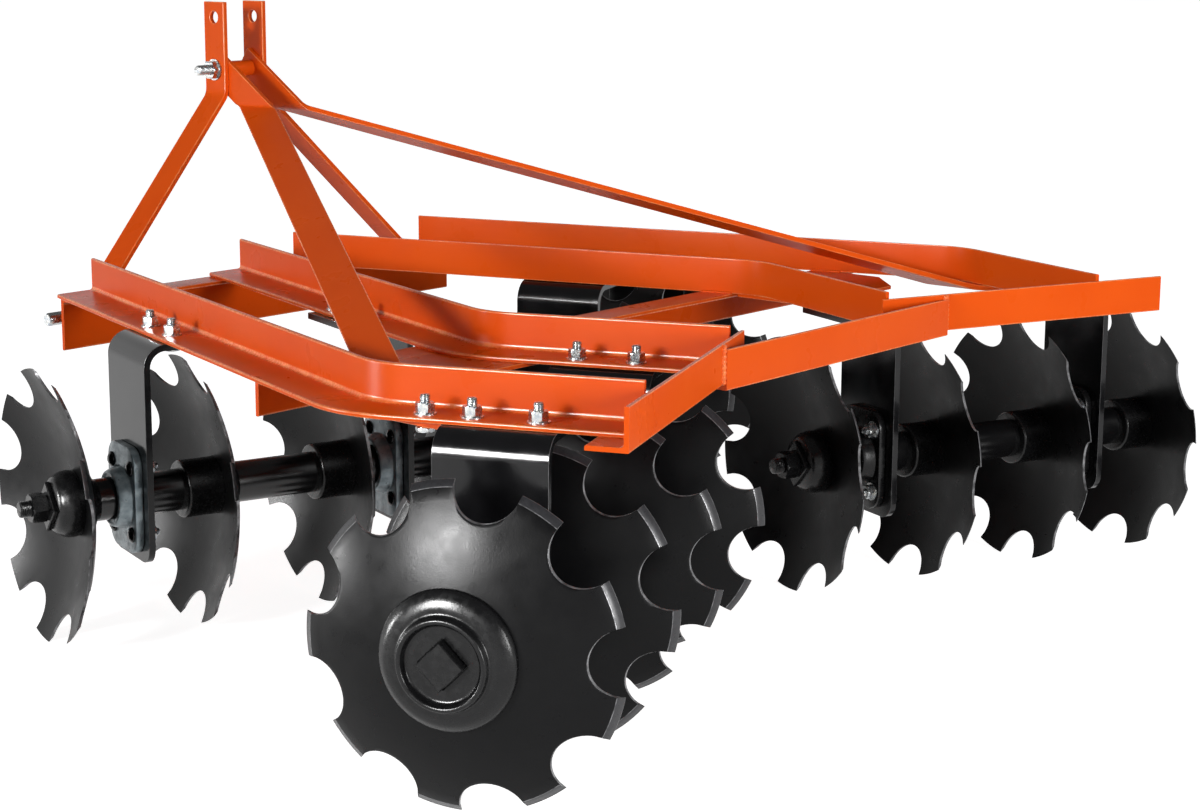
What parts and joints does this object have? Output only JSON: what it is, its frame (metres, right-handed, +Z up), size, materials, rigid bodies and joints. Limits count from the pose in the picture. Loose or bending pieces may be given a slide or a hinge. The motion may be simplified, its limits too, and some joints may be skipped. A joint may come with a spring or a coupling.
{
  "type": "disc harrow",
  "caption": "Three-point hitch disc harrow: four angled gangs of notched dished discs under a bent angle-iron frame with a braced mast.",
  "frame": {"origin": "on the ground, under the middle of the machine's width and length", "axes": "+Y the way it travels, +X its right side, +Z up"},
  "size_m": [1.802, 1.5401, 0.908],
  "materials": {
    "orange_paint": "semi-gloss orange enamel",
    "black_paint": "gloss black enamel",
    "black_castings": "black painted cast iron and tube",
    "disc_steel": "satin black paint on hardened steel",
    "bearing_housing": "grey cast housing",
    "zinc": "zinc plated"
  },
  "bodies": {
    "frame": {"hanger_front_left_outer": "black_paint", "bearing_front_left_outer": "bearing_housing", "hanger_front_left_inner": "black_paint", "bearing_front_left_inner": "bearing_housing", "hanger_front_right_outer": "black_paint", "bearing_front_right_outer": "bearing_housing", "hanger_front_right_inner": "black_paint", "bearing_front_right_inner": "bearing_housing", "hanger_rear_left_outer": "black_paint", "bearing_rear_left_outer": "bearing_housing", "hanger_rear_left_inner": "black_paint", "bearing_rear_left_inner": "bearing_housing", "hanger_rear_right_outer": "black_paint", "bearing_rear_right_outer": "bearing_housing", "hanger_rear_right_inner": "black_paint", "bearing_rear_right_inner": "bearing_housing", "beam_left_outer": "orange_paint", "beam_left_inner": "orange_paint", "beam_right_inner": "orange_paint", "beam_right_outer": "orange_paint", "cross_iron_front": "orange_paint", "cross_iron_middle": "orange_paint", "frame_plate_left": "orange_paint", "frame_plate_right": "orange_paint", "rear_iron_left": "orange_paint", "rear_iron_right": "orange_paint", "rear_iron_centre": "orange_paint", "mast_leg_left": "orange_paint", "mast_leg_right": "orange_paint", "brace_left": "orange_paint", "brace_right": "orange_paint", "hitch_pin_left": "zinc", "hitch_pin_right": "zinc", "mast_bolt": "zinc"},
    "gang_front_left": {"arbor_front_left": "black_castings", "disc_front_left_1": "disc_steel", "disc_front_left_2": "disc_steel", "disc_front_left_3": "disc_steel", "disc_front_left_4": "disc_steel"},
    "gang_front_right": {"arbor_front_right": "black_castings", "disc_front_right_1": "disc_steel", "disc_front_right_2": "disc_steel", "disc_front_right_3": "disc_steel", "disc_front_right_4": "disc_steel"},
    "gang_rear_left": {"arbor_rear_left": "black_castings", "disc_rear_left_1": "disc_steel", "disc_rear_left_2": "disc_steel", "disc_rear_left_3": "disc_steel", "disc_rear_left_4": "disc_steel"},
    "gang_rear_right": {"arbor_rear_right": "black_castings", "disc_rear_right_1": "disc_steel", "disc_rear_right_2": "disc_steel", "disc_rear_right_3": "disc_steel", "disc_rear_right_4": "disc_steel"}
  },
  "joints": [
    {"name": "gang_front_left_spin", "type": "hinge", "parent": "frame", "child": "gang_front_left", "pos_m": [-0.42828, 0.23191, 0.2032], "axis": [0.9511, -0.309, 0], "continuous": true},
    {"name": "gang_front_right_spin", "type": "hinge", "parent": "frame", "child": "gang_front_right", "pos_m": [0.42828, 0.23191, 0.2032], "axis": [-0.9511, -0.309, 0], "continuous": true},
    {"name": "gang_rear_left_spin", "type": "hinge", "parent": "frame", "child": "gang_rear_left", "pos_m": [-0.50707, -0.45468, 0.2032], "axis": [-0.9259, -0.3778, 0], "continuous": true},
    {"name": "gang_rear_right_spin", "type": "hinge", "parent": "frame", "child": "gang_rear_right", "pos_m": [0.50707, -0.45468, 0.2032], "axis": [0.9259, -0.3778, 0], "continuous": true}
  ]
}
